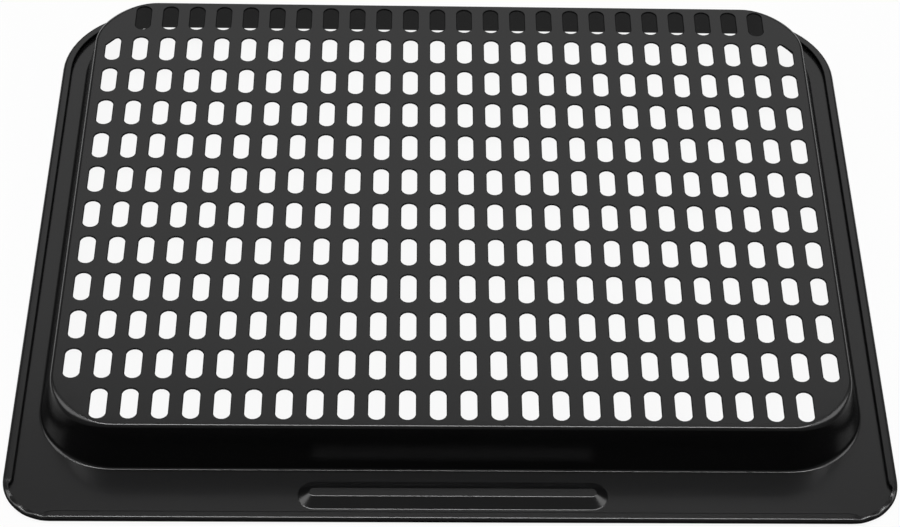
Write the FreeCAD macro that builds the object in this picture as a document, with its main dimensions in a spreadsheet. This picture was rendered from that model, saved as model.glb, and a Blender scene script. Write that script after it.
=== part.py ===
import FreeCAD, Part
import math
import os
import Sketcher

# Perforated baking tray, lying on its rim with the slotted base on top.
# Millimetres, +Z up, -Y is the front with the grip rib. The origin is the middle of the
# footprint, on the surface that the tray lies on. It is one pressed sheet, hemmed all round.

# Name, value and meaning of each size that can be set by itself
SIZES = [
    ("base_width", 379.0, "width of the flat base, left to right"),
    ("base_depth", 291.5, "depth of the flat base, front to back"),
    ("base_corner", 31.0, "corner radius of the base in plan"),
    ("tray_height", 26.4, "underside of the flange to the face of the base"),
    ("sheet", 0.8, "thickness of the sheet"),
    ("wall_angle", 15.4, "lean of the walls away from upright, in degrees"),
    ("base_bend", 1.8, "outer radius of the bend from wall to base"),
    ("foot_bend", 1.2, "radius in the angle between wall and flange"),
    ("side_flange", 12.8, "flange beyond the wall at each side"),
    ("front_flange", 29.5, "flange beyond the wall at the front"),
    ("back_flange", 10.4, "flange beyond the wall at the back"),
    ("front_corner", 24.3, "radius of the two front corners of the rim"),
    ("back_corner", 46.0, "radius of the two back corners of the rim"),
    ("hem_width", 4.6, "folded-over strip, from the rim to its raw edge"),
    ("hem_opening", 1.6, "space between the folded strip and the flange"),
    ("fold_flat", 0.1, "straight left between the two bends of the fold"),
    ("rib_length", 144.4, "length of the grip rib"),
    ("rib_width", 12.6, "width of the grip rib at its foot"),
    ("rib_height", 3.0, "height of the grip rib above the flange"),
    ("rib_crest", 1.6, "width left at the crest of the rib"),
    ("rib_bend", 2.0, "radius along the crest and the foot of the rib"),
    ("rib_setback", 13.0, "middle of the rib back from the front edge"),
    ("slot_width", 7.8, "width of a slot"),
    ("slot_length", 18.0, "length of a slot"),
    ("side_margin", 5.6, "outermost slots in from the sides of the base"),
    ("end_margin", 3.65, "outermost slots in from the front and the back of the base"),
    ("columns", 26, "slots in each of the inner rows"),
    ("end_columns", 24, "slots in the first and in the last row"),
    ("rows", 12, "rows of slots, front to back"),
    ("slot_cut", 6.3, "cut down the outer side of the two slots next to the back corners"),
]

doc = FreeCAD.newDocument("baking_tray")
sizes = doc.addObject("Spreadsheet::Sheet", "sizes")
for line, (name, value, meaning) in enumerate(SIZES, start=1):
    sizes.set("A%d" % line, meaning)
    sizes.set("B%d" % line, str(value))
    sizes.setAlias("B%d" % line, name)
doc.recompute()

body = doc.addObject("PartDesign::Body", "pressed_sheet")

# Lengths that follow from the sizes
LEAN = "sizes.tray_height * tan(sizes.wall_angle * 1 deg)"
SKIN = "sizes.sheet / cos(sizes.wall_angle * 1 deg)"
PAN_MIDDLE = "(sizes.front_flange - sizes.back_flange) / 2"
HEM_HEIGHT = "2 * sizes.sheet + sizes.hem_opening"
CAVITY_TOP = "sizes.tray_height - sizes.sheet"
HALF_WALL_TURN = "(90 - sizes.wall_angle) / 2 * 1 deg"
HALF_SQUARE_TURN = "45 deg"
COLUMN_PITCH = "(sizes.base_width - 2 * sizes.side_margin - sizes.slot_width) / (sizes.columns - 1)"
ROW_PITCH = "(sizes.base_depth - 2 * sizes.end_margin - sizes.slot_length) / (sizes.rows - 1)"

# Outlines in plan: half width, half depth, front corner, back corner, middle in Y
FOOT = (
    "sizes.base_width / 2 + " + LEAN,
    "sizes.base_depth / 2 + " + LEAN,
    "sizes.base_corner + " + LEAN,
    "sizes.base_corner + " + LEAN,
    PAN_MIDDLE,
)
RIM = (
    FOOT[0] + " + sizes.side_flange",
    FOOT[1] + " + (sizes.front_flange + sizes.back_flange) / 2",
    "sizes.front_corner",
    "sizes.back_corner",
    "0",
)
SAME = 0.01    # two places nearer than this are one


def length(expression):
    return float(FreeCAD.Units.Quantity(body.evalExpression(expression)).Value)


def new_sketch(name, level, middle_y="0"):
    # a sketch above the ground plane, with its origin moved to the middle of what it draws
    ground = [plane for plane in body.Origin.OriginFeatures if plane.Role == "XY_Plane"][0]
    sketch = body.newObject("Sketcher::SketchObject", name)
    sketch.AttachmentSupport = [(ground, "")]
    sketch.MapMode = "FlatFace"
    sketch.setExpression(".AttachmentOffset.Base.y", middle_y)
    sketch.setExpression(".AttachmentOffset.Base.z", level)
    return sketch


def rule(sketch, *what):
    sketch.addConstraint(Sketcher.Constraint(*what))


def bind(sketch, expression, *what):
    # a dimension whose value comes from the sizes
    index = sketch.addConstraint(Sketcher.Constraint(*what, length(expression)))
    sketch.setExpression("Constraints[%d]" % index, expression)


def arc_at(x, y, radius, start, sweep):
    circle = Part.Circle(FreeCAD.Vector(x, y, 0), FreeCAD.Vector(0, 0, 1), radius)
    return Part.ArcOfCircle(circle, math.radians(start), math.radians(start + sweep))


def join_arcs(sketch, arcs):
    # the arcs in order, joined by tangent lines into one closed outline
    first = sketch.GeometryCount
    count = len(arcs)
    for arc in arcs:
        sketch.addGeometry(arc)
    for number, arc in enumerate(arcs):
        following = arcs[(number + 1) % count]
        sketch.addGeometry(Part.LineSegment(arc.EndPoint, following.StartPoint))
    for number in range(count):
        rule(sketch, "Tangent", first + number, 2, first + count + number, 1)
        rule(sketch, "Tangent", first + count + number, 2, first + (number + 1) % count, 1)
    return range(first, first + 2 * count)


def draw_outline(sketch, outline, inset="0"):
    # a rectangle with rounded corners, drawn inside the outline by the inset
    half_width, half_depth, front, back = ["%s - (%s)" % (size, inset) for size in outline[:4]]
    w, d, f, b = [length(size) for size in (half_width, half_depth, front, back)]
    corners = [(w - f, f - d, f), (w - b, d - b, b), (b - w, d - b, b), (f - w, f - d, f)]
    arcs = [arc_at(x, y, radius, 90 * turn - 90, 90) for turn, (x, y, radius) in enumerate(corners)]
    front_right, back_right, back_left, front_left, right, behind, left, ahead = join_arcs(sketch, arcs)
    rule(sketch, "Vertical", right)
    rule(sketch, "Symmetric", behind, 1, behind, 2, -2)
    rule(sketch, "Symmetric", ahead, 1, ahead, 2, -2)
    rule(sketch, "Equal", front_right, front_left)
    rule(sketch, "Equal", back_right, back_left)
    bind(sketch, front, "Radius", front_right)
    bind(sketch, back, "Radius", back_right)
    bind(sketch, half_width, "DistanceX", -1, 1, right, 1)
    bind(sketch, half_depth, "DistanceY", -1, 1, behind, 1)
    bind(sketch, half_depth, "DistanceY", ahead, 1, -1, 1)


def draw_stadium(sketch, half_length, radius):
    # two straight sides joined by half circles, long from left to right
    straight = "%s - %s" % (half_length, radius)
    x, r = length(straight), length(radius)
    right, left, behind, ahead = join_arcs(sketch, [arc_at(x, 0, r, -90, 180), arc_at(-x, 0, r, 90, 180)])
    rule(sketch, "Symmetric", behind, 1, behind, 2, -2)
    rule(sketch, "PointOnObject", right, 3, -1)
    bind(sketch, radius, "Radius", right)
    bind(sketch, straight, "DistanceX", -1, 1, right, 3)


def raise_up(kind, name, sketch, height, leaning=False):
    # a Pad, or a Pocket that goes up into the metal above its sketch
    feature = body.newObject("PartDesign::" + kind, name)
    feature.Profile = sketch
    feature.Reversed = kind == "Pocket"
    feature.setExpression("Length", height)
    if leaning:
        feature.setExpression("TaperAngle", "-sizes.wall_angle * 1 deg")
    doc.recompute()
    return feature


def dress(kind, name, feature, chosen, measure, expression):
    edges = ["Edge%d" % number for number, edge in enumerate(feature.Shape.Edges, start=1) if chosen(edge)]
    dressing = body.newObject("PartDesign::" + kind, name)
    dressing.Base = (feature, edges)
    dressing.setExpression(measure, expression)
    doc.recompute()
    return dressing


def bend(name, feature, radius, chosen):
    return dress("Fillet", name, feature, chosen, "Radius", radius)


def crease(name, feature, radius, half_turn, chosen):
    # a small bend as one flat between its two faces, which touches its arc half way round
    flat = "(%s) * (1 / cos(%s) - 1) / sin(%s)" % (radius, half_turn, half_turn)
    return dress("Chamfer", name, feature, chosen, "Size", flat)


def middle_of(edge):
    return edge.valueAt((edge.FirstParameter + edge.LastParameter) / 2)


def inset_of(point, outline):
    # how far a point lies inside an outline, measured square to it
    half_width, half_depth, front, back, middle = [length(size) for size in outline]
    y = point.y - middle
    corner = front if y < 0 else back
    beyond_x = abs(point.x) - (half_width - corner)
    beyond_y = abs(y) - (half_depth - corner)
    if beyond_x > 0 and beyond_y > 0:
        return corner - math.hypot(beyond_x, beyond_y)
    return min(half_width - abs(point.x), half_depth - abs(y))


def at_level(edge, level):
    box = edge.BoundBox
    return max(abs(box.ZMin - length(level)), abs(box.ZMax - length(level))) < SAME


def within(edge, outline):
    return inset_of(middle_of(edge), outline) > -SAME


def at_inset(edge, outline, inset):
    return abs(inset_of(middle_of(edge), outline) - length(inset)) < SAME


# Flange and pan: a raised block on a thin plate, hollowed from below
flange_outline = new_sketch("flange_outline", "0")
draw_outline(flange_outline, RIM)
raise_up("Pad", "flange", flange_outline, "sizes.sheet")

foot_outline = new_sketch("foot_outline", "0", PAN_MIDDLE)
draw_outline(foot_outline, FOOT)
raise_up("Pad", "block", foot_outline, "sizes.tray_height", leaning=True)

cavity_outline = new_sketch("cavity_outline", "0", PAN_MIDDLE)
draw_outline(cavity_outline, FOOT, SKIN)
pan = raise_up("Pocket", "cavity", cavity_outline, CAVITY_TOP, leaning=True)

# Bends from base to wall and from wall to flange, one sheet apart outside and inside
pan = bend("base_bend_outside", pan, "sizes.base_bend", lambda edge: at_level(edge, "sizes.tray_height"))
pan = crease(
    "base_bend_inside", pan, "sizes.base_bend - sizes.sheet", HALF_WALL_TURN,
    lambda edge: at_level(edge, CAVITY_TOP),
)
pan = crease(
    "foot_bend_outside", pan, "sizes.foot_bend", HALF_WALL_TURN,
    lambda edge: at_level(edge, "sizes.sheet") and within(edge, FOOT),
)
pan = crease(
    "foot_bend_inside", pan, "sizes.foot_bend + sizes.sheet", HALF_WALL_TURN,
    lambda edge: at_level(edge, "0") and within(edge, FOOT),
)

# Hem: the rim folded up and back over the flange, open along its raw edge
hem_outline = new_sketch("hem_outline", "0")
draw_outline(hem_outline, RIM)
draw_outline(hem_outline, RIM, "sizes.hem_width")
raise_up("Pad", "hem", hem_outline, HEM_HEIGHT)

opening_outline = new_sketch("opening_outline", "sizes.sheet")
draw_outline(opening_outline, RIM, "sizes.sheet")
draw_outline(opening_outline, RIM, "sizes.hem_width")
hem = raise_up("Pocket", "hem_opening", opening_outline, "sizes.hem_opening")

FOLD_RADIUS = "(%s - sizes.fold_flat) / 2" % HEM_HEIGHT
hem = crease(
    "fold_outside", hem, FOLD_RADIUS, HALF_SQUARE_TURN,
    lambda edge: (at_level(edge, "0") or at_level(edge, HEM_HEIGHT)) and at_inset(edge, RIM, "0"),
)
hem = crease(
    "fold_inside", hem, "(sizes.hem_opening - sizes.fold_flat) / 2", HALF_SQUARE_TURN,
    lambda edge: not at_level(edge, HEM_HEIGHT) and at_inset(edge, RIM, "sizes.sheet")
    and abs(edge.BoundBox.ZMax - edge.BoundBox.ZMin) < SAME,
)

# Grip rib: pressed up out of the front flange, hollow below
RIB_MIDDLE = "sizes.rib_setback - (%s)" % RIM[1]
CREST_HALF_LENGTH = "(sizes.rib_length - sizes.rib_width + sizes.rib_crest) / 2"
HALF_RIB_TURN = "atan(2 * sizes.rib_height / (sizes.rib_width - sizes.rib_crest)) / 2"


def rib_loft(kind, name, foot_level):
    ends = (
        (foot_level, "sizes.rib_length / 2", "sizes.rib_width / 2"),
        (foot_level + " + sizes.rib_height", CREST_HALF_LENGTH, "sizes.rib_crest / 2"),
    )
    sketches = []
    for place, (level, half_length, radius) in zip(("foot", "crest"), ends):
        sketch = new_sketch("%s_%s" % (name, place), level, RIB_MIDDLE)
        draw_stadium(sketch, half_length, radius)
        sketches.append(sketch)
    loft = body.newObject("PartDesign::" + kind, name)
    loft.Profile = sketches[0]
    loft.Sections = sketches[1:]
    loft.Ruled = True
    doc.recompute()
    return loft


def on_rib(edge):
    middle = middle_of(edge)
    beyond_y = abs(middle.y - length(RIB_MIDDLE)) - length("sizes.rib_width / 2")
    beyond_x = abs(middle.x) - length("sizes.rib_length / 2")
    return beyond_x < SAME and beyond_y < SAME


rib_loft("AdditiveLoft", "rib", "sizes.sheet")
rib = rib_loft("SubtractiveLoft", "rib_hollow", "0")
rib = bend(
    "rib_crest_bend", rib, "sizes.rib_bend",
    lambda edge: at_level(edge, "sizes.sheet + sizes.rib_height") and on_rib(edge),
)
rib = bend(
    "rib_foot_bend", rib, "sizes.rib_bend",
    lambda edge: at_level(edge, "sizes.sheet") and on_rib(edge),
)
rib = crease(
    "rib_mouth_bend", rib, "sizes.rib_bend + sizes.sheet", HALF_RIB_TURN,
    lambda edge: at_level(edge, "0") and on_rib(edge),
)

# Slots: punched through the base in straight rows, each end three chords of its half circle
CHORD = math.radians(60)


def slot_punch(x, y, cut_side):
    # cut_side is 1 or -1 where the back end is cut across on the right or on the left, and else 0
    half_width = length("sizes.slot_width / 2")
    half_length = length("sizes.slot_length / 2")
    shoulder = (half_width, half_length - half_width * math.sin(CHORD))
    tip = (half_width * math.cos(CHORD), half_length)
    back_end = [shoulder, tip, (-tip[0], tip[1]), (-shoulder[0], shoulder[1])]
    front_end = [(-u, -v) for u, v in back_end]
    cut_level = half_length - length("sizes.slot_cut")
    if cut_side > 0:
        back_end[:2] = [(half_width, cut_level)]
    if cut_side < 0:
        back_end[2:] = [(-half_width, cut_level)]
    level = length(CAVITY_TOP + " - sizes.sheet")
    corners = [FreeCAD.Vector(x + u, y + v, level) for u, v in back_end + front_end]
    outline = Part.makePolygon(corners + corners[:1])
    return Part.Face(outline).extrude(FreeCAD.Vector(0, 0, 3 * length("sizes.sheet")))


row_count = int(sizes.get("rows"))
slots = []
for row in range(row_count):
    last_or_first = row in (0, row_count - 1)
    column_count = int(sizes.get("end_columns" if last_or_first else "columns"))
    cut_sides = {0: -1, column_count - 1: 1} if row == row_count - 2 else {}
    y = length(PAN_MIDDLE) + (row - (row_count - 1) / 2) * length(ROW_PITCH)
    for column in range(column_count):
        x = (column - (column_count - 1) / 2) * length(COLUMN_PITCH)
        slots.append(slot_punch(x, y, cut_sides.get(column, 0)))
punches = doc.addObject("Part::Feature", "slot_punches")
punches.Shape = Part.makeCompound(slots)

tray = doc.addObject("Part::Cut", "perforated_tray")
tray.Label = "perforated_tray"
tray.Base = body
tray.Tool = punches
doc.recompute()

for item in doc.Objects:
    if "Invalid" in item.State or "Error" in item.State:
        raise RuntimeError("%s failed: %s" % (item.Name, item.State))
if tray.Shape.isNull() or not tray.Shape.isValid() or len(tray.Shape.Solids) != 1:
    raise RuntimeError("perforated_tray isn't one valid solid")

os.makedirs("parts", exist_ok=True)
tray.Shape.exportStep("parts/%s.step" % tray.Label)
print("perforated_tray: %d slots, %.0f cubic millimetres" % (len(slots), tray.Shape.Volume))
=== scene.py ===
from math import atan2, cos, hypot, pi, radians, sin, tan
import bpy
from mathutils import Matrix, Vector


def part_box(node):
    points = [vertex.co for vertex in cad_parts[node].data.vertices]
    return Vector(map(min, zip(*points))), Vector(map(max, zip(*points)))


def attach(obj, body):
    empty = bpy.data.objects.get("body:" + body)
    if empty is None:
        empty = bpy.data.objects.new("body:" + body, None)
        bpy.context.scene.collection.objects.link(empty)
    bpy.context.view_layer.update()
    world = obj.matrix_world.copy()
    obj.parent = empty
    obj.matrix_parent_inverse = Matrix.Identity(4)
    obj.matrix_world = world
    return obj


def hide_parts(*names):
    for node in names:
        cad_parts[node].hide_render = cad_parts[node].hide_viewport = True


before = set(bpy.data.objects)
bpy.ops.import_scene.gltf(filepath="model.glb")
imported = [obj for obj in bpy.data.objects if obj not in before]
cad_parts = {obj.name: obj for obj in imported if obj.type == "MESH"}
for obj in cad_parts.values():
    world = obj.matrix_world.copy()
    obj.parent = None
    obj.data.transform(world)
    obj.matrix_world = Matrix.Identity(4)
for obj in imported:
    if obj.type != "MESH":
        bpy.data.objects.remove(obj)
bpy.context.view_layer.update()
lowCorner, highCorner = [Vector(corner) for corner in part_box("perforated_tray")]
print("frame loaded")

tray = {
    "sheet": 0.0008,         # thickness of the pressed sheet
    "baseWidth": 0.379,
    "baseDepth": 0.2915,
    "baseCorner": 0.031,     # corner radius of the base in plan
    "baseShift": 0.00955,    # middle of the base behind the middle of the rim
    "wallAngle": 15.4,       # lean of the walls from upright, in degrees
    "baseBend": 0.0018,      # outer radius of the bend from base to wall
    "cornerBend": 0.0042,    # the same bend half way round a corner, where the sheet is drawn
    "footBend": 0.0012,      # radius in the angle between wall and flange
    "cornerFoot": 0.0026,    # and half way round a corner
    "frontTop": 0.0009,      # top of the front wall forward of an even lean
    "frontFoot": 0.0011,     # and its foot back
    "backFoot": 0.0015,      # foot of the back wall further back
    "frontCorner": 0.0243,   # corner radii of the rim
    "backCorner": 0.046,
    "turnSteps": 16,         # faces round one corner
    "bendSteps": 6,          # faces across one bend
    "cutAngle": 60,          # edges sharper than this are cut edges, in degrees
    "edgeRound": 0.00016,    # wear of the cut edges
    "edgeSteps": 2,
    "smoothAngle": 40,       # edges flatter than this are shaded smooth, in degrees
    "flatWeight": 100,       # at 100 the larger face sets the shading along an edge
}

halfSheet = tray["sheet"] / 2
flangeLevel = halfSheet                      # heights of the middle of the sheet
baseLevel = highCorner.z - halfSheet
rimHalf = Vector((highCorner.x - lowCorner.x, highCorner.y - lowCorner.y)) / 2
baseHalf = Vector((tray["baseWidth"], tray["baseDepth"])) / 2
near = 0.00002                               # two places nearer than this are one
veryNear = near / 4
spare = 0.01                                 # a length that is drawn and then dropped again


def editMesh(piece):
    bpy.ops.object.mode_set(mode="OBJECT")
    bpy.ops.object.select_all(action="DESELECT")
    piece.select_set(True)
    bpy.context.view_layer.objects.active = piece
    bpy.ops.object.mode_set(mode="EDIT")
    bpy.ops.mesh.select_mode(type="VERT")


def pickVertices(piece, wanted):
    editMesh(piece)
    bpy.ops.mesh.select_all(action="DESELECT")
    bpy.ops.object.mode_set(mode="OBJECT")
    for vertex in piece.data.vertices:
        vertex.select = wanted(vertex.co)
    bpy.ops.object.mode_set(mode="EDIT")


def sweepAlong(run):
    bpy.ops.mesh.extrude_region_move(TRANSFORM_OT_translate={"value": run})


def sweepTurn(centre, angle, steps):
    bpy.ops.mesh.spin(steps=steps, angle=angle, center=centre, axis=(0, 0, 1))


def closeSweep():
    # the sweep's end is joined to its start
    bpy.ops.mesh.select_all(action="SELECT")
    bpy.ops.mesh.remove_doubles(threshold=near)


def drawLine(name, points):
    # one vertex, extruded from point to point
    if bpy.context.object:
        bpy.ops.object.mode_set(mode="OBJECT")
    bpy.ops.object.select_all(action="DESELECT")
    bpy.ops.mesh.primitive_circle_add(vertices=3, radius=spare)
    piece = bpy.context.object
    piece.name = name
    editMesh(piece)
    bpy.ops.mesh.select_all(action="SELECT")
    bpy.ops.mesh.merge(type="CENTER")
    bpy.ops.transform.translate(value=points[0])
    for here, there in zip(points, points[1:]):
        sweepAlong(there - here)
    bpy.ops.mesh.select_all(action="SELECT")
    return piece


def roundedLine(corners, steps):
    # a line through (distance, height, radius) corners, with an arc at each one between its ends
    points = []
    for number, (x, z, radius) in enumerate(corners):
        here = Vector((x, z))
        if number in (0, len(corners) - 1):
            points.append(here)
            continue
        before = (here - Vector(corners[number - 1][:2])).normalized()
        after = (Vector(corners[number + 1][:2]) - here).normalized()
        turn = before.angle_signed(after)
        reach = radius * tan(abs(turn) / 2)
        side = Vector((before.y, -before.x)) * (1 if turn > 0 else -1)
        centre = here - before * reach + side * radius
        for step in range(steps + 1):
            spoke = Matrix.Rotation(-turn * step / steps, 2) @ (-side * radius)
            points.append(centre + spoke)
    return points


def sweepRound(half, middleY, frontCorner, backCorner):
    # the selected line is carried round an outline: along each side and through each corner
    right, behind, ahead = half.x, middleY + half.y, middleY - half.y
    sideRun = 2 * half.y - frontCorner - backCorner
    legs = (
        ((0, sideRun, 0), (right - backCorner, behind - backCorner, 0)),
        ((2 * (backCorner - right), 0, 0), (backCorner - right, behind - backCorner, 0)),
        ((0, -sideRun, 0), (frontCorner - right, ahead + frontCorner, 0)),
        ((2 * (right - frontCorner), 0, 0), (right - frontCorner, ahead + frontCorner, 0)),
    )
    for run, centre in legs:
        sweepAlong(run)
        sweepTurn(centre, -pi / 2, tray["turnSteps"])
    closeSweep()


def wallLine(baseBend, footBend):
    # section of the sheet from the flat of the base to the flange, measured from the base's edge
    lean = radians(tray["wallAngle"])
    slant = halfSheet / cos(lean)
    foot = (highCorner.z - flangeLevel) * tan(lean) - slant
    top = halfSheet * tan(lean) - slant
    corners = (
        (top - spare, baseLevel, 0),
        (top, baseLevel, baseBend - halfSheet),
        (foot, flangeLevel, footBend + halfSheet),
        (foot + spare, flangeLevel, 0),
    )
    return roundedLine(corners, tray["bendSteps"])[1:-1]


def roundCorners(piece):
    # the bends are drawn to a larger radius round the corners of the base
    plain = wallLine(tray["baseBend"], tray["footBend"])
    arcCentre = baseHalf - Vector((tray["baseCorner"],) * 2)
    for vertex in piece.data.vertices:
        behindMiddle = vertex.co.y - tray["baseShift"]
        beyond = Vector((abs(vertex.co.x) - arcCentre.x, abs(behindMiddle) - arcCentre.y))
        if min(beyond) <= near:
            continue
        swell = sin(2 * atan2(beyond.y, beyond.x)) ** 2
        baseBend = tray["baseBend"] + swell * (tray["cornerBend"] - tray["baseBend"])
        footBend = tray["footBend"] + swell * (tray["cornerFoot"] - tray["footBend"])
        reach = beyond.length - tray["baseCorner"]
        gaps = [hypot(reach - x, vertex.co.z - z) for x, z in plain]
        newReach, newLevel = wallLine(baseBend, footBend)[gaps.index(min(gaps))]
        outward = beyond.normalized() * (newReach + tray["baseCorner"]) + arcCentre
        vertex.co.x = outward.x * (1 if vertex.co.x > 0 else -1)
        vertex.co.y = outward.y * (1 if behindMiddle > 0 else -1) + tray["baseShift"]
        vertex.co.z = newLevel


def slideWalls(piece):
    # the front wall's top goes forward, and its foot and the back wall's foot go back
    cornerStart = baseHalf.y - tray["baseCorner"]
    for vertex in piece.data.vertices:
        behindMiddle = vertex.co.y - tray["baseShift"]
        share = (abs(behindMiddle) - cornerStart) / tray["baseCorner"]
        share = max(0, min(1, share))
        height = (vertex.co.z - flangeLevel) / (baseLevel - flangeLevel)
        slide = tray["frontFoot"] * (1 - height) - tray["frontTop"] * height
        if behindMiddle > 0:
            slide = tray["backFoot"] * (1 - height)
        vertex.co.y += slide * share ** 2 * (3 - 2 * share)   # it eases in round the corners


def makeWalls():
    startY = tray["baseShift"] - baseHalf.y + tray["baseCorner"]
    section = wallLine(tray["baseBend"], tray["footBend"])
    walls = drawLine("walls", [Vector((baseHalf.x + x, startY, z)) for x, z in section])
    sweepRound(baseHalf, tray["baseShift"], tray["baseCorner"], tray["baseCorner"])
    bpy.ops.object.mode_set(mode="OBJECT")
    roundCorners(walls)
    slideWalls(walls)
    return walls


hem = {
    "width": 0.0046,         # from the rim to the raw edge
    "opening": 0.0016,       # between the folded strip and the flange
    "foldSteps": 8,
    "edgeStrip": 0.0004,     # darkened band along the raw edge, painted shade of the gap beneath it
    "pinchedWidth": 0.0016,  # what is left of the strip round the front corners
    "gatherRise": 3,         # how soon the gathering starts
    "wave": 0.00035,         # depth of the puckers there
    "waves": 7,              # half waves round one corner
    "waveShift": 1,          # start of the right corner's waves, in radians
}


def rimInset(place):
    # how far a place lies inside the outline of the rim
    corner = tray["frontCorner"] if place.y < 0 else tray["backCorner"]
    beyond = Vector((abs(place.x), abs(place.y))) - rimHalf + Vector((corner, corner))
    if min(beyond) > 0:
        return corner - beyond.length
    return corner - max(beyond)


def pinchCorners(strip, stripLevel):
    # round the tight front corners the strip is gathered: narrow, uneven and close to the flange
    corner = tray["frontCorner"]
    foldInset = hem["opening"] / 2 + tray["sheet"]
    for vertex in strip.data.vertices:
        beyond = Vector((abs(vertex.co.x) - rimHalf.x + corner, corner - rimHalf.y - vertex.co.y))
        if min(beyond) <= near or vertex.co.z < flangeLevel + near:
            continue
        turn = atan2(beyond.y, beyond.x)
        inset = corner - beyond.length
        gather = min(1, hem["gatherRise"] * sin(2 * turn)) ** 2
        height = (vertex.co.z - flangeLevel) / (stripLevel - flangeLevel)
        start = hem["waveShift"] if vertex.co.x > 0 else 0
        ripple = sin(2 * hem["waves"] * turn + start)
        squeeze = (hem["pinchedWidth"] + hem["wave"] * ripple) / hem["width"]
        if inset > foldInset:
            inset += gather * (inset - foldInset) * (squeeze - 1)
        vertex.co.z -= height * gather * hem["wave"] * (1 + ripple)
        outward = beyond.normalized() * (corner - inset)
        vertex.co.x = (outward.x + rimHalf.x - corner) * (1 if vertex.co.x > 0 else -1)
        vertex.co.y = corner - rimHalf.y - outward.y


def makeHem():
    # the rim turned up and back over the flange, with its raw edge free
    turnRadius = (hem["opening"] + tray["sheet"]) / 2
    turnX = rimHalf.x - halfSheet - turnRadius
    stripLevel = flangeLevel + 2 * turnRadius
    startY = tray["frontCorner"] - rimHalf.y
    line = []
    for step in range(hem["foldSteps"] + 1):
        angle = pi * step / hem["foldSteps"]
        level = flangeLevel + turnRadius * (1 - cos(angle))
        line.append(Vector((turnX + turnRadius * sin(angle), startY, level)))
    for inset in (hem["width"] - hem["edgeStrip"], hem["width"]):
        line.append(Vector((rimHalf.x - inset, startY, stripLevel)))
    strip = drawLine("hem", line)
    sweepRound(rimHalf, 0, tray["frontCorner"], tray["backCorner"])
    bpy.ops.object.mode_set(mode="OBJECT")
    rawInset = hem["width"] - near
    rawEdge = [vertex.index for vertex in strip.data.vertices if rimInset(vertex.co) > rawInset]
    strip.vertex_groups.new(name="cutEdge").add(rawEdge, 1, "REPLACE")
    pinchCorners(strip, stripLevel)
    return strip


rib = {
    "length": 0.1444,
    "width": 0.0152,
    "height": 0.003,
    "crest": 0.0046,         # width of its top, measured as if the bends were sharp
    "bend": 0.0013,
    "setback": 0.0155,       # its middle behind the front edge
    "endSteps": 20,
}

ribMiddle = rib["setback"] - rimHalf.y


def makeRib():
    # the grip rib is half a turn at each end, joined by straight runs
    endX = (rib["length"] - rib["width"]) / 2
    corners = (
        (rib["width"] / 2 + spare, 0, 0),
        (rib["width"] / 2, 0, rib["bend"] + halfSheet),
        (rib["crest"] / 2, rib["height"], rib["bend"] - halfSheet),
        (-spare, rib["height"], 0),
    )
    section = roundedLine(corners, tray["bendSteps"])[1:-1]
    ridge = drawLine("rib", [Vector((endX, ribMiddle - x, flangeLevel + z)) for x, z in section])
    for side in (1, -1):
        sweepTurn((side * endX, ribMiddle, 0), -pi, rib["endSteps"])
        sweepAlong((-side * 2 * endX, 0, 0))
    closeSweep()
    pickVertices(ridge, lambda place: place.z > flangeLevel + rib["height"] - near)
    bpy.ops.mesh.edge_face_add()
    return ridge


def onRib(place):
    offsetX, offsetY = abs(place.x), abs(place.y - ribMiddle)
    return offsetX < rib["length"] / 2 + rib["bend"] and offsetY < rib["width"] / 2 + rib["bend"]


slots = {
    "width": 0.0078,
    "length": 0.018,
    "columnPitch": 0.0144,
    "rowPitch": 0.0242,
    "columns": 26,
    "rows": 12,
    "sides": 16,             # corners of one slot's outline
    "capShare": 0.92,        # height of a rounded end, as a share of a half circle
    "collar": 0.0004,        # ring of faces round each slot, darkened along with its cut edge
    "cutDepth": 0.0063,      # the slanting cut across two slots near the back corners
    "cutWidth": 0.0056,
}

middleColumn = (slots["columns"] - 1) / 2
middleRow = (slots["rows"] - 1) / 2


def slotPlace(row, column):
    return Vector((
        (column - middleColumn) * slots["columnPitch"],
        tray["baseShift"] + (row - middleRow) * slots["rowPitch"],
    ))


def makeSlot():
    # a circle with its two halves drawn apart
    radius = slots["width"] / 2
    bpy.ops.object.mode_set(mode="OBJECT")
    bpy.ops.object.select_all(action="DESELECT")
    bpy.ops.mesh.primitive_circle_add(vertices=slots["sides"], radius=radius)
    slot = bpy.context.object
    slot.name = "slot"
    editMesh(slot)
    bpy.ops.mesh.select_all(action="SELECT")
    bpy.ops.transform.rotate(value=pi / slots["sides"], orient_axis="Z", center_override=(0, 0, 0))
    widen = 1 / cos(pi / slots["sides"])
    bpy.ops.transform.resize(value=(widen, widen * slots["capShare"], 1), center_override=(0, 0, 0))
    stretch = slots["length"] / 2 - radius * slots["capShare"]
    for side in (1, -1):
        pickVertices(slot, lambda place: place.y * side > 0)
        bpy.ops.transform.translate(value=(0, side * stretch, 0))
    bpy.ops.mesh.select_all(action="SELECT")
    bpy.ops.transform.translate(value=(0, 0, baseLevel))
    return slot


def cutLine(x):
    # how far back a cut slot reaches, with its cut corner on the left
    slope = slots["cutDepth"] / slots["cutWidth"]
    return slots["length"] / 2 - slots["cutDepth"] + slope * (x + slots["width"] / 2)


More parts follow.
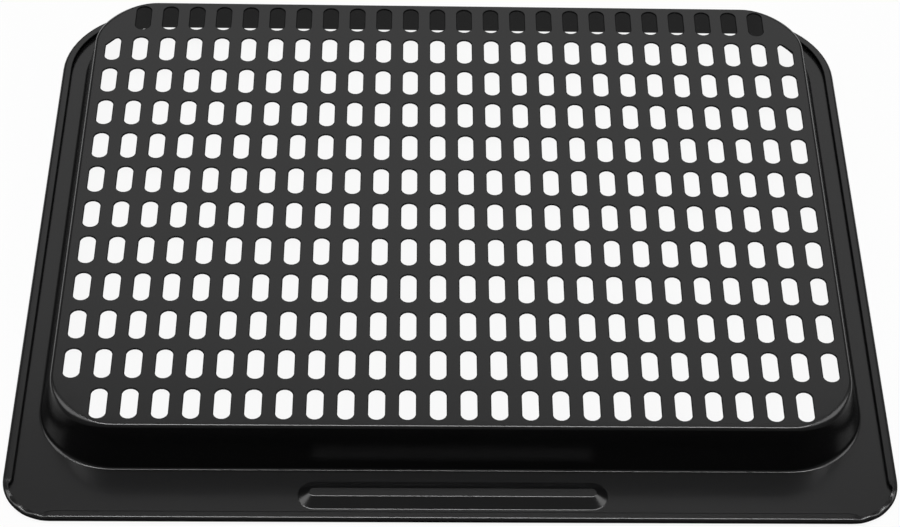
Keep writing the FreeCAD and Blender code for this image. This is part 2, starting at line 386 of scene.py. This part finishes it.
def addCollars(grid):
    # a ring of faces round each slot's outline, which is kept as a vertex group
    outline = grid.vertex_groups.new(name="cutEdge")
    outline.add(range(len(grid.data.vertices)), 1, "REPLACE")
    editMesh(grid)
    bpy.ops.mesh.select_all(action="SELECT")
    bpy.ops.mesh.extrude_region_move()
    bpy.ops.object.mode_set(mode="OBJECT")
    outline.remove([vertex.index for vertex in grid.data.vertices if vertex.select])
    stretch = (slots["length"] - slots["width"]) / 2
    for vertex in grid.data.vertices:
        if not vertex.select:
            continue
        column = round(vertex.co.x / slots["columnPitch"] + middleColumn)
        row = round((vertex.co.y - tray["baseShift"]) / slots["rowPitch"] + middleRow)
        middle = slotPlace(row, column)
        axis = Vector((0, max(-stretch, min(stretch, vertex.co.y - middle.y))))
        outward = (vertex.co.xy - middle - axis).normalized() * slots["collar"]
        vertex.co.x += outward.x
        vertex.co.y += outward.y


def makeSlots():
    slot = makeSlot()
    bpy.ops.object.mode_set(mode="OBJECT")
    copies = []
    for row in range(slots["rows"]):
        indent = 1 if row in (0, slots["rows"] - 1) else 0   # the end rows are two slots shorter
        for column in range(indent, slots["columns"] - indent):
            copy = slot.copy()
            copy.data = slot.data.copy()
            bpy.context.collection.objects.link(copy)
            place = slotPlace(row, column)
            isCut = row == slots["rows"] - 2 and column in (0, slots["columns"] - 1)
            turned = 1 if column == 0 else -1
            for vertex in copy.data.vertices:
                if isCut:
                    vertex.co.y = min(vertex.co.y, cutLine(vertex.co.x * turned))
                vertex.co.x += place.x
                vertex.co.y += place.y
            copies.append(copy)
    bpy.data.objects.remove(slot)
    joinPieces(copies)
    grid = bpy.context.object
    grid.name = "slotOutlines"
    addCollars(grid)
    return grid


def joinPieces(pieces):
    bpy.ops.object.select_all(action="DESELECT")
    for piece in pieces:
        piece.select_set(True)
    bpy.context.view_layer.objects.active = pieces[0]
    bpy.ops.object.join()


def pickEdges(shell, level, wanted=lambda place: True):
    # free edges at one level, apart from the slots' own outlines
    editMesh(shell)
    bpy.ops.mesh.select_all(action="DESELECT")
    bpy.ops.mesh.select_mode(type="EDGE")
    bpy.ops.object.mode_set(mode="OBJECT")
    mesh = shell.data
    uses = {}
    for face in mesh.polygons:
        for key in face.edge_keys:
            uses[key] = uses.get(key, 0) + 1
    for edge in mesh.edges:
        ends = [mesh.vertices[number] for number in edge.vertices]
        atLevel = max(abs(end.co.z - level) for end in ends) < veryNear
        free = atLevel and uses.get(edge.key, 0) == 1 and wanted(ends[0].co)
        edge.select = free and not ends[0].groups
    bpy.ops.object.mode_set(mode="EDIT")


def fillFlats(shell):
    # the flat of the base is filled between its edge and the collars
    pickEdges(shell, baseLevel)
    bpy.ops.mesh.fill(use_beauty=True)
    # the flange is bridged from the walls to the hem, and its front stretch is filled round the rib
    pickEdges(shell, flangeLevel, lambda place: not onRib(place))
    bpy.ops.mesh.bridge_edge_loops()
    editMesh(shell)
    bpy.ops.mesh.select_mode(type="FACE")
    bpy.ops.mesh.select_all(action="DESELECT")
    bpy.ops.object.mode_set(mode="OBJECT")
    reach = rib["length"] / 2
    flat = [face for face in shell.data.polygons if abs(face.center.z - flangeLevel) < veryNear]
    ahead = [face for face in flat if face.center.y < -baseHalf.y and abs(face.center.x) < reach]
    max(ahead, key=lambda face: face.area).select = True
    bpy.ops.object.mode_set(mode="EDIT")
    bpy.ops.mesh.delete(type="ONLY_FACE")
    pickEdges(shell, flangeLevel)
    bpy.ops.mesh.fill(use_beauty=True)


def thickenSheet(shell):
    thicken = shell.modifiers.new("thickness", "SOLIDIFY")
    thicken.thickness = tray["sheet"]
    thicken.offset = 0
    thicken.use_even_offset = True
    thicken.use_quality_normals = True
    bpy.ops.object.modifier_apply(modifier=thicken.name)


def roundCutEdges(shell):
    # the upper edges of the slots and both edges of the hem's raw edge
    editMesh(shell)
    bpy.ops.mesh.select_all(action="DESELECT")
    bpy.ops.mesh.select_mode(type="EDGE")
    bpy.ops.mesh.edges_select_sharp(sharpness=radians(tray["cutAngle"]))
    bpy.ops.object.mode_set(mode="OBJECT")
    mesh = shell.data
    for edge in mesh.edges:
        levels = [mesh.vertices[number].co.z for number in edge.vertices]
        atFlange = max(levels) < flangeLevel + tray["sheet"]
        underBase = max(abs(level - baseLevel + halfSheet) for level in levels) < near
        upright = abs(levels[0] - levels[1]) > tray["sheet"] / 2
        if atFlange or underBase or upright:
            edge.select = False
    bpy.ops.object.mode_set(mode="EDIT")
    bpy.ops.mesh.bevel(offset=tray["edgeRound"], segments=tray["edgeSteps"], affect="EDGES")
    bpy.ops.object.mode_set(mode="OBJECT")


def smoothBends(shell):
    # the bends are shaded smooth while the flat faces beside them stay flat
    bpy.ops.object.shade_smooth_by_angle(angle=radians(tray["smoothAngle"]))
    weights = shell.modifiers.new("flat faces stay flat", "WEIGHTED_NORMAL")
    weights.weight = tray["flatWeight"]
    weights.keep_sharp = True
    bpy.ops.object.modifier_apply(modifier=weights.name)


def makeTray():
    parts = [makeWalls(), makeHem(), makeRib(), makeSlots()]
    print("sections swept, slots laid out")
    bpy.ops.object.mode_set(mode="OBJECT")
    joinPieces(parts)
    shell = bpy.context.object
    shell.name = "perforatedTray"
    shell.data.name = "perforatedTray"
    fillFlats(shell)
    print("flats filled")
    bpy.ops.mesh.select_all(action="SELECT")
    bpy.ops.mesh.remove_doubles(threshold=veryNear)
    bpy.ops.mesh.normals_make_consistent(inside=False)
    bpy.ops.object.mode_set(mode="OBJECT")
    thickenSheet(shell)
    roundCutEdges(shell)
    smoothBends(shell)
    return shell


trayPiece = makeTray()
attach(trayPiece, "root")
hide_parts("perforated_tray")
print("tray built,", len(trayPiece.data.polygons), "faces")


class Wire:
    # a socket of a material's nodes: an expression with wires in it adds the Math nodes for it
    def __init__(self, tree, socket=None):
        self.tree = tree
        self.socket = socket

    def __getitem__(self, name):
        # another output of the same node
        return Wire(self.tree, self.socket.node.outputs[name])

    def node(self, kind, settings=None, sockets=None):
        # a new node with its settings, and then the values or links of its sockets
        made = self.tree.nodes.new(kind)
        for name, value in (settings or {}).items():
            setattr(made, name, value)
        for name, value in (sockets or {}).items():
            if isinstance(value, Wire):
                self.tree.links.new(value.socket, made.inputs[name])
            else:
                made.inputs[name].default_value = value
        return Wire(self.tree, made.outputs[0] if made.outputs else None)

    def maths(self, operation, first, second=0):
        return self.node("ShaderNodeMath", {"operation": operation}, {0: first, 1: second})

    def __add__(self, other):
        return self.maths("ADD", self, other)

    def __radd__(self, other):
        return self.maths("ADD", other, self)

    def __sub__(self, other):
        return self.maths("SUBTRACT", self, other)

    def __rsub__(self, other):
        return self.maths("SUBTRACT", other, self)

    def __mul__(self, other):
        return self.maths("MULTIPLY", self, other)

    def __rmul__(self, other):
        return self.maths("MULTIPLY", other, self)

    def __abs__(self):
        return self.maths("ABSOLUTE", self)


def emptyMaterial(name):
    # a material without nodes, and the wire that adds them
    material = bpy.data.materials.new(name)
    material.use_nodes = True
    material.node_tree.nodes.clear()
    return material, Wire(material.node_tree)


coating = {
    "colour": (0.004, 0.004, 0.0042, 1),   # black filler of the non-stick coat
    "roughness": 0.22,
    "index": 1.6,                          # of the satin top layer
    "edgeShade": 0.85,                     # share of that layer taken off on and beside cut edges: painted shade along the hem's raw edge, and a darker ring round each slot
    "bumpDepth": 0.00001,
    "bumpStrength": 0.6,
    "grain": {"size": 0.0006, "detail": 2, "roughness": 0.6, "swing": 0.12},   # sprayed texture
    "mottle": {"size": 0.03, "detail": 3, "roughness": 0.55, "swing": 0.1},    # uneven satin
}


def noise(place, pattern):
    return place.node("ShaderNodeTexNoise", sockets={
        "Vector": place,
        "Scale": 1 / pattern["size"],
        "Detail": pattern["detail"],
        "Roughness": pattern["roughness"],
    })


def swing(level, pattern):
    # noise runs from 0 to 1, and this from as far below 0 as above it
    return (level - 0.5) * pattern["swing"]


def satinCoating():
    material, start = emptyMaterial("satinBlackCoating")
    place = start.node("ShaderNodeTexCoord")["Object"]
    grain = noise(place, coating["grain"])
    mottle = noise(place, coating["mottle"])
    # the cut edges are darkened: painted shade along the hem's raw edge, and a darker ring round
    # each slot
    rim = start.node("ShaderNodeAttribute", {"attribute_name": "rimShade"})["Fac"]
    bump = start.node("ShaderNodeBump", sockets={
        "Height": grain,
        "Distance": coating["bumpDepth"],
        "Strength": coating["bumpStrength"],
    })
    shader = start.node("ShaderNodeBsdfPrincipled", sockets={
        "Base Color": coating["colour"],
        "Specular IOR Level": 0,
        "Roughness": coating["roughness"] + swing(mottle, coating["mottle"]),
        "Coat IOR": coating["index"],
        "Coat Roughness": coating["roughness"],
        "Coat Weight": 1 - coating["edgeShade"] * rim - swing(grain, coating["grain"]),
        "Normal": bump,
    })
    start.node("ShaderNodeOutputMaterial", sockets={"Surface": shader})
    return material


def markCutEdges(piece):
    # 1 on the cut edges of the sheet and the narrow faces beside them, 0 elsewhere, for the coating
    # to darken them
    cut = [bool(vertex.groups) for vertex in piece.data.vertices]
    shade = piece.data.attributes.new("rimShade", "FLOAT", "FACE")
    for face in piece.data.polygons:
        shade.data[face.index].value = any(cut[number] for number in face.vertices)
    # the bevel has left weights below 0 in the group, and nothing reads it from here on
    piece.vertex_groups.clear()


markCutEdges(trayPiece)
trayPiece.data.materials.clear()
trayPiece.data.materials.append(satinCoating())
print("coating made")

studio = {
    "floorSize": 12,
    "floorPaint": 0.8,
    "floorShadow": 0.08,       # share of the floor's white that follows the lamps
    "floorUnder": 0.17,        # share of the floor's white that the coating mirrors from under the tray, a painted shadow
    "floorBefore": 0.1,        # what is left of the mirrored white in front of the tray, painted shade
    "floorFade": 0.012,        # width of the change at the rim
    "fill": 0.14,              # brightness of the studio's walls
}

# elevation above the floor, and turn from straight behind towards the right, in degrees
lamps = {
    "backLight": {
        "width": 1.5, "height": 1, "distance": 1.9, "elevation": 41, "turn": 3, "radiance": 0.52,
    },
    "topLight": {
        "width": 1.3, "height": 0.24, "distance": 1.5, "elevation": 83, "turn": 0, "radiance": 16,
    },
    "leftLight": {
        "width": 0.7, "height": 1, "distance": 1.6, "elevation": 44, "turn": -88, "radiance": 2,
    },
    "rightLight": {
        "width": 0.7, "height": 1, "distance": 1.6, "elevation": 44, "turn": 88, "radiance": 2,
    },
}


def fade(value, start, end):
    # 0 before the start, 1 past the end, smooth between them
    return value.node("ShaderNodeMapRange", {"interpolation_type": "SMOOTHSTEP"}, {
        "Value": value,
        "From Min": start,
        "From Max": end,
    })


def mixShaders(share, first, second):
    return share.node("ShaderNodeMixShader", sockets={0: share, 1: first, 2: second})


def floorWhite():
    material, start = emptyMaterial("whiteFloor")
    colour = (studio["floorPaint"],) * 3 + (1,)
    paint = start.node("ShaderNodeBsdfDiffuse", sockets={"Color": colour})
    white = start.node("ShaderNodeEmission", sockets={"Color": (1, 1, 1, 1), "Strength": 1})
    black = start.node("ShaderNodeEmission", sockets={"Color": (0, 0, 0, 1), "Strength": 1})
    rays = start.node("ShaderNodeLightPath")
    seen = rays["Is Camera Ray"] + rays["Is Transmission Ray"]
    lit = mixShaders(seen * (1 - studio["floorShadow"]), paint, white)
    # in the coating the floor is white beside and behind the tray, with painted shadow under it and
    # painted shade before it
    whole = start.node("ShaderNodeTexCoord")["Object"]
    place = start.node("ShaderNodeSeparateXYZ", sockets={"Vector": whole})
    beside = fade(abs(place["X"]), rimHalf.x, rimHalf.x + studio["floorFade"])
    behind = fade(place["Y"], rimHalf.y, rimHalf.y + studio["floorFade"])
    before = fade(place["Y"], 0, -rimHalf.y)
    outside = start.maths("MAXIMUM", beside, behind)
    bright = studio["floorUnder"] + outside * (1 - studio["floorUnder"])
    bright = bright * (1 - (1 - studio["floorBefore"]) * before)
    mirrored = mixShaders(bright, black, white)
    surface = mixShaders(rays["Is Glossy Ray"], lit, mirrored)
    start.node("ShaderNodeOutputMaterial", sockets={"Surface": surface})
    return material


def makeFloor():
    bpy.ops.object.select_all(action="DESELECT")
    bpy.ops.mesh.primitive_plane_add(size=studio["floorSize"], location=(0, 0, 0))
    floor = bpy.context.object
    floor.name = "floor"
    floor.data.materials.append(floorWhite())


def makeLight(name, setting):
    elevation, turn = radians(setting["elevation"]), radians(setting["turn"])
    lamp = bpy.data.lights.new(name, "AREA")
    lamp.shape = "RECTANGLE"
    lamp.size = setting["width"]
    lamp.size_y = setting["height"]
    lamp.energy = setting["radiance"] * pi * setting["width"] * setting["height"]
    light = bpy.data.objects.new(name, lamp)
    towards = Vector((sin(turn) * cos(elevation), cos(turn) * cos(elevation), sin(elevation)))
    light.location = towards * setting["distance"]
    light.rotation_euler = (-towards).to_track_quat("-Z", "Y").to_euler()
    bpy.context.collection.objects.link(light)


def makeStudio():
    makeFloor()
    for name, setting in lamps.items():
        makeLight(name, setting)
    world = bpy.data.worlds.new("studio")
    bpy.context.scene.world = world
    world.use_nodes = True
    background = world.node_tree.nodes["Background"]
    background.inputs["Color"].default_value = (1, 1, 1, 1)
    background.inputs["Strength"].default_value = studio["fill"]
    bpy.context.scene.view_settings.view_transform = "Standard"


camera = {
    "elevation": 47.847,       # degrees above the surface
    "turn": 3.112,             # towards the left
    "roll": 2.747,
    "lens": 96.951,
    "sensor": 36,              # its width in millimetres
    "shift": (-0.05536, 0.0005),
    "clip": (0.01, 50),
    # from the middle of the base, along the camera's own axes
    "fromBase": (0.0241, -0.03282, 1.22402),
}


def makeCamera():
    lens = bpy.data.cameras.new("camera")
    lens.lens = camera["lens"]
    lens.sensor_width = camera["sensor"]
    lens.shift_x, lens.shift_y = camera["shift"]
    lens.clip_start, lens.clip_end = camera["clip"]
    holder = bpy.data.objects.new("camera", lens)
    bpy.context.collection.objects.link(holder)
    aim = Matrix.Rotation(radians(-camera["turn"]), 3, "Z")
    aim = aim @ Matrix.Rotation(radians(90 - camera["elevation"]), 3, "X")
    aim = aim @ Matrix.Rotation(radians(camera["roll"]), 3, "Z")
    base = Vector((0, tray["baseShift"], highCorner.z))
    holder.matrix_world = Matrix.Translation(base + aim @ Vector(camera["fromBase"])) @ aim.to_4x4()
    bpy.context.scene.camera = holder


makeStudio()
makeCamera()
print("studio and camera ready")
